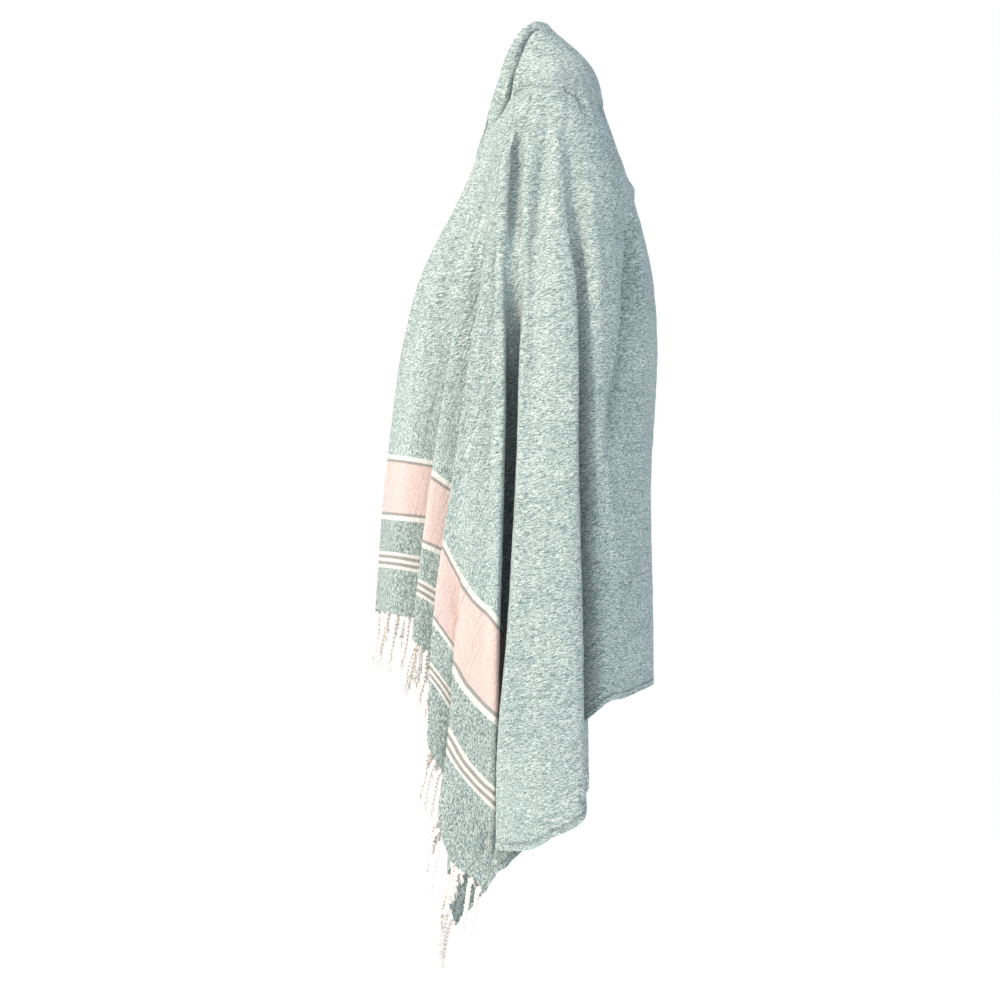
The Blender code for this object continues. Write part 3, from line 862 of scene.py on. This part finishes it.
def spread(tree, value, low, high):
    """The value's range from low to high, stretched to 0 to 1."""
    inputs = {"Value": value, "From Min": low, "From Max": high}
    return add_node(tree, "ShaderNodeMapRange", inputs).outputs[0]


def attribute(tree, name, output):
    return add_node(tree, "ShaderNodeAttribute", attribute_name=name).outputs[output]


def parts_of(tree, vector):
    return add_node(tree, "ShaderNodeSeparateXYZ", {0: vector}).outputs


def new_material(name, constants):
    """A material, its nodes and the shader that it starts with, whose own sockets take the constants."""
    material = bpy.data.materials.new(name)
    material.use_nodes = True
    tree = material.node_tree
    shader = tree.nodes["Principled BSDF"]
    for socket, value in constants.items():
        shader.inputs[socket].default_value = value
    return material, tree, shader


GROUND_DARK = (0.095, 0.145, 0.138, 1)
GROUND_MIDDLE = (0.300, 0.365, 0.350, 1)
GROUND_LIGHT = (0.590, 0.625, 0.595, 1)
DENSE_END = 0.118  # the ground looks darker between the stripes and the short end
DENSE_TONE = (0.86, 0.86, 0.85, 1)
CREAM = (0.62, 0.61, 0.57, 1)
TAUPE = (0.275, 0.262, 0.240, 1)
PINK = (0.600, 0.462, 0.430, 1)
NO_STRIPE = (0, 0, 0, 0)
STRIPE_SPAN = 0.25

# The striped end: where each band starts, in millimetres from the short end, and its colour.
BANDS = (
    (0.0, NO_STRIPE),
    (55.0, CREAM),
    (58.9, TAUPE),
    (63.1, CREAM),
    (67.0, TAUPE),
    (71.2, CREAM),
    (75.1, NO_STRIPE),
    (114.0, CREAM),
    (119.6, TAUPE),
    (123.2, PINK),
    (190.0, TAUPE),
    (193.6, CREAM),
    (199.4, NO_STRIPE),
)

Noise = namedtuple("Noise", "scale detail roughness distortion", defaults=(2.0, 0.5, 0.0))
SLUB = Noise((600, 600, 640), 2.0, 0.6, 0.2)
YARN = Noise((1300, 1300, 1300), 1.0, 0.5, 0.2)
LYING = Noise((170, 170, 820), 2.0, 0.6, 0.5)
UPRIGHT = Noise((640, 640, 250), 2.0, 0.6, 0.4)
CLOUD = Noise((9, 14, 1))
CRINKLE = Noise((22, 130, 1), 2.0, 0.55, 0.6)
PUCKER = Noise((190, 45, 1), 1.0, 0.5, 0.3)
FIBRE = Noise((900, 900, 340), 2.0, 0.6, 0.4)
FLOOR_CLOUD = Noise((2, 2, 2))

CREPE_TURN = (0.66, 0.50)  # how far along the towel its ripples turn from level to upright
CREPE_SLOPE = 0.24
SLUB_SHARE = 0.33
YARN_SHARE = 0.21
CREPE_SHARE = 0.46
CRINKLE_ENDS = 0.35  # the crinkles' share near the ends
GROUND_STOPS = ((0.405, GROUND_DARK), (0.50, GROUND_MIDDLE), (0.595, GROUND_LIGHT))
CLOUD_STOPS = ((0.3, (0.90, 0.92, 0.92, 1)), (0.7, (1.06, 1.06, 1.04, 1)))
FLECK_STOPS = ((0.38, (0.80, 0.79, 0.77, 1)), (0.6, (1.05, 1.05, 1.05, 1)))
STRIPE_JITTER = 0.0018
STITCH_LINE = HEM_WIDTH - 0.0015
STITCH_HALF = 0.0006
STITCH_PITCH = 0.0034
STITCH_DUTY = 0.65  # the share of the pitch that shows thread
STITCH_COLOUR = 0.3
GROOVE_HALF = 0.0018
# how far painted shade darkens the colour along the stitch groove
GROOVE_PAINTED_SHADE = 0.5
GROOVE_DEPTH = 0.35
HEM_FAINT = 0.2  # the hem line's share along the neck and fronts
PUCKER_REACH = (0.006, 0.026)
PUCKER_DEPTH = 1.1
FOLD_BUMP = {"Strength": 1.0, "Distance": 0.0044}
GRAIN_RELIEF = 0.5
RELIEF_BUMP = {"Strength": 0.9, "Distance": 0.0015}
FIBRE_BUMP = {"Strength": 0.6, "Distance": 0.0006}
CORD_STOPS = (
    (0.0, (0.80, 0.77, 0.71, 1)),
    (0.7, (0.83, 0.80, 0.76, 1)),
    (0.9, (0.90, 0.78, 0.73, 1)),
    (1.0, (0.76, 0.78, 0.75, 1)),
)
FIBRE_STOPS = ((0.3, (0.80, 0.78, 0.76, 1)), (0.65, (1.04, 1.04, 1.04, 1)))
FLOOR_STOPS = ((0.3, (0.90, 0.90, 0.90, 1)), (0.7, (0.93, 0.93, 0.93, 1)))
FLOOR_GLOW = 0.70
CLOTH_LOOK = {"Roughness": 0.92, "Specular IOR Level": 0.25, "Sheen Weight": 0.12, "Sheen Roughness": 0.5}
CORD_LOOK = {"Roughness": 0.9, "Specular IOR Level": 0.25, "Sheen Weight": 0.1}
FLOOR_LOOK = {"Roughness": 0.9, "Emission Color": (1, 1, 1, 1), "Emission Strength": FLOOR_GLOW}


def cloth_material():
    """Crepe-woven cotton: a melange ground of sage and cream yarns, striped ends and stitched hems."""
    material, tree, shader = new_material("towel_weave", CLOTH_LOOK)
    flat = attribute(tree, "flat", "Vector")
    along, across, _ = parts_of(tree, flat)
    place = add_node(tree, "ShaderNodeTexCoord").outputs["Object"]
    x, y, z = parts_of(tree, place)
    slub = noise_texture(tree, place, SLUB)
    yarn = noise_texture(tree, place, YARN)
    middle = spread(tree, maths(tree, "ABSOLUTE", along), *CREPE_TURN)
    level = maths(tree, "SUBTRACT", z, maths(tree, "MULTIPLY", x, CREPE_SLOPE))
    sloped = add_node(tree, "ShaderNodeCombineXYZ", {0: x, 1: y, 2: level}).outputs[0]
    lying = noise_texture(tree, sloped, LYING)
    upright = noise_texture(tree, place, UPRIGHT)
    crepe = add_node(tree, "ShaderNodeMix", {0: middle, 2: upright, 3: lying}).outputs[0]

    grain = weighted(tree, (slub, SLUB_SHARE), (yarn, YARN_SHARE), (crepe, CREPE_SHARE))
    ground = colour_ramp(tree, grain, GROUND_STOPS)[0]
    ground = tinted(tree, ground, colour_ramp(tree, noise_texture(tree, flat, CLOUD), CLOUD_STOPS)[0])
    distance = attribute(tree, "stripe", "Fac")
    near_end = maths(tree, "LESS_THAN", distance, DENSE_END)
    ground = mix_colours(tree, near_end, ground, tinted(tree, ground, DENSE_TONE))

    jitter = maths(tree, "MULTIPLY", maths(tree, "SUBTRACT", yarn, 0.5), STRIPE_JITTER)
    share = maths(tree, "DIVIDE", maths(tree, "ADD", distance, jitter), STRIPE_SPAN)
    stops = [(start * MM / STRIPE_SPAN, colour) for start, colour in BANDS]
    stripe, striped = colour_ramp(tree, share, stops, "CONSTANT")
    stripe = tinted(tree, stripe, colour_ramp(tree, grain, FLECK_STOPS)[0])
    colour = mix_colours(tree, striped, ground, stripe)

    to_edge = attribute(tree, "to_edge", "Fac")
    off_line = maths(tree, "ABSOLUTE", maths(tree, "SUBTRACT", to_edge, STITCH_LINE))
    on_line = maths(tree, "LESS_THAN", off_line, STITCH_HALF)
    beat = maths(tree, "FRACT", maths(tree, "MULTIPLY", along, 1 / STITCH_PITCH))
    stitch = maths(tree, "MULTIPLY", on_line, maths(tree, "LESS_THAN", beat, STITCH_DUTY))
    colour = mix_colours(tree, maths(tree, "MULTIPLY", stitch, STITCH_COLOUR), colour, CREAM)

    # The groove along the stitch line is a bump, and painted shade that darkens the colour towards the dark
    # ground where shade would fall in it.
    groove = maths(tree, "SUBTRACT", 1.0, spread(tree, off_line, 0.0, GROOVE_HALF))
    low_hem = maths(tree, "GREATER_THAN", across, FLAT_WIDTH / 2)
    groove = maths(tree, "MULTIPLY", groove, maths(tree, "MAXIMUM", low_hem, HEM_FAINT))
    colour = mix_colours(tree, maths(tree, "MULTIPLY", groove, GROOVE_PAINTED_SHADE), colour, GROUND_DARK)
    by_hem = maths(tree, "SUBTRACT", 1.0, spread(tree, to_edge, *PUCKER_REACH))
    pucker = maths(tree, "MULTIPLY", noise_texture(tree, flat, PUCKER), by_hem)
    crinkle = noise_texture(tree, flat, CRINKLE)
    share = maths(tree, "ADD", CRINKLE_ENDS, maths(tree, "MULTIPLY", middle, 1 - CRINKLE_ENDS))
    fold = weighted(tree, (crinkle, share), (groove, -GROOVE_DEPTH), (pucker, PUCKER_DEPTH))
    folds = bumped(tree, fold, FOLD_BUMP)
    relief = weighted(tree, (grain, GRAIN_RELIEF), (crepe, 1.0))
    finish(tree, shader, colour, bumped(tree, relief, RELIEF_BUMP, Normal=folds))
    return material


def fringe_material():
    """Twisted cotton cord, cream with some yarns blush or grey, rough with fine fibres."""
    material, tree, shader = new_material("fringe_cord", CORD_LOOK)
    fibre = noise_texture(tree, add_node(tree, "ShaderNodeTexCoord").outputs["Object"], FIBRE)
    colour = colour_ramp(tree, attribute(tree, "tone", "Fac"), CORD_STOPS)[0]
    colour = tinted(tree, colour, colour_ramp(tree, fibre, FIBRE_STOPS)[0])
    finish(tree, shader, colour, bumped(tree, fibre, FIBRE_BUMP))
    return material


def floor_material():
    """A pale matt floor that is nearly white in the light."""
    material, tree, shader = new_material("studio_floor", FLOOR_LOOK)
    cloud = noise_texture(tree, add_node(tree, "ShaderNodeTexCoord").outputs["Object"], FLOOR_CLOUD)
    tree.links.new(colour_ramp(tree, cloud, FLOOR_STOPS)[0], shader.inputs["Base Color"])
    return material


# The studio.
FLOOR_DROP = 1.42
FLOOR_SIZE = 60.0
CAMERA_PLACE = (-0.0715, -30.0, -0.5265)
VIEW_REACH = 200
VIEW_WIDTH = 1.3
VIEW_PLANE = -0.10
TARGET = (-0.05, 0.0, -0.50)
Lamp = namedtuple("Lamp", "name toward distance size power colour")
LAMPS = (
    Lamp("key", (-0.58, -0.67, 0.72), 6.0, 1.2, 352, (1.13, 1.0, 0.81)),
    Lamp("top_fill", (0.0, -0.40, 1.0), 5.0, 3.0, 72, (0.93, 0.98, 1.05)),
    Lamp("front_fill", (-0.62, -1.0, 0.20), 7.0, 3.6, 48, (0.92, 0.99, 1.08)),
)
SKY_COLOUR = (0.82, 0.98, 1.19, 1)
SKY_STRENGTH = 0.60


def build_floor():
    corners = np.array([(-1, -1, 0), (1, -1, 0), (1, 1, 0), (-1, 1, 0)]) * FLOOR_SIZE / 2
    floor = mesh_object("studio_floor", corners - (0, 0, FLOOR_DROP), [(0, 1, 2, 3)], floor_material())


def build_lamps():
    for lamp in LAMPS:
        data = bpy.data.lights.new(lamp.name, "AREA")
        data.shape = "DISK"
        data.size = lamp.size
        data.energy = lamp.power
        data.color = lamp.colour
        obj = new_object(lamp.name, data)
        way = Vector(lamp.toward).normalized()
        obj.location = Vector(TARGET) + way * lamp.distance
        obj.rotation_euler = way.to_track_quat("Z", "Y").to_euler()


def build_sky():
    """A white studio: pure white where it is seen, and softer where it lights the cloth."""
    world = bpy.data.worlds.new("studio")
    world.use_nodes = True
    tree = world.node_tree
    tree.nodes.clear()
    lit = add_node(tree, "ShaderNodeBackground", {"Color": SKY_COLOUR, "Strength": SKY_STRENGTH}).outputs[0]
    seen = add_node(tree, "ShaderNodeBackground", {"Color": (1, 1, 1, 1), "Strength": 1.0}).outputs[0]
    camera_ray = add_node(tree, "ShaderNodeLightPath").outputs["Is Camera Ray"]
    mixed = add_node(tree, "ShaderNodeMixShader", {0: camera_ray, 1: lit, 2: seen}).outputs[0]
    add_node(tree, "ShaderNodeOutputWorld", {"Surface": mixed})
    bpy.context.scene.world = world


def build_camera():
    data = bpy.data.cameras.new("camera")
    data.angle = 2 * np.arctan(VIEW_WIDTH / 2 / (VIEW_PLANE - CAMERA_PLACE[1]))
    data.clip_end = VIEW_REACH
    camera = new_object("camera", data)
    camera.location = CAMERA_PLACE
    camera.rotation_euler = (np.pi / 2, 0, 0)
    bpy.context.scene.camera = camera


def main():
    surface, at, corners = whole_cloth()
    flat = flat_places(surface, at, corners)
    tree = BVHTree.FromPolygons(surface.reshape(-1, 3).tolist(), grid_cells(*surface.shape[:2]).tolist())
    stripe = stripe_distances(surface, at, flat)
    surface = shaped_cloth(surface, flat, tree)
    cloth = build_cloth(surface, flat, stripe, cloth_material())
    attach(cloth, "root")
    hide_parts("near_front", "near_side", "back", "far_side", "far_front")

    cord = fringe_material()
    near_corner, far_corner = (column_at(at, fold) for fold in corners)
    ends = (
        ("near", slice(0, near_corner + 1), NEAR_SEED, BARE),
        ("far", slice(far_corner, None), FAR_SEED, NO_GAP),
    )
    for side, run, seed, bare in ends:
        edge = surface[run, -1]
        fringe = build_fringe(side + "_fringe_cords", edge, edge - surface[run, -2], seed, bare, cord)
        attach(fringe, "root")
        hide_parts(side + "_fringe")

    build_floor()
    build_lamps()
    build_sky()
    build_camera()
    bpy.context.scene.view_settings.view_transform = "Standard"


main()
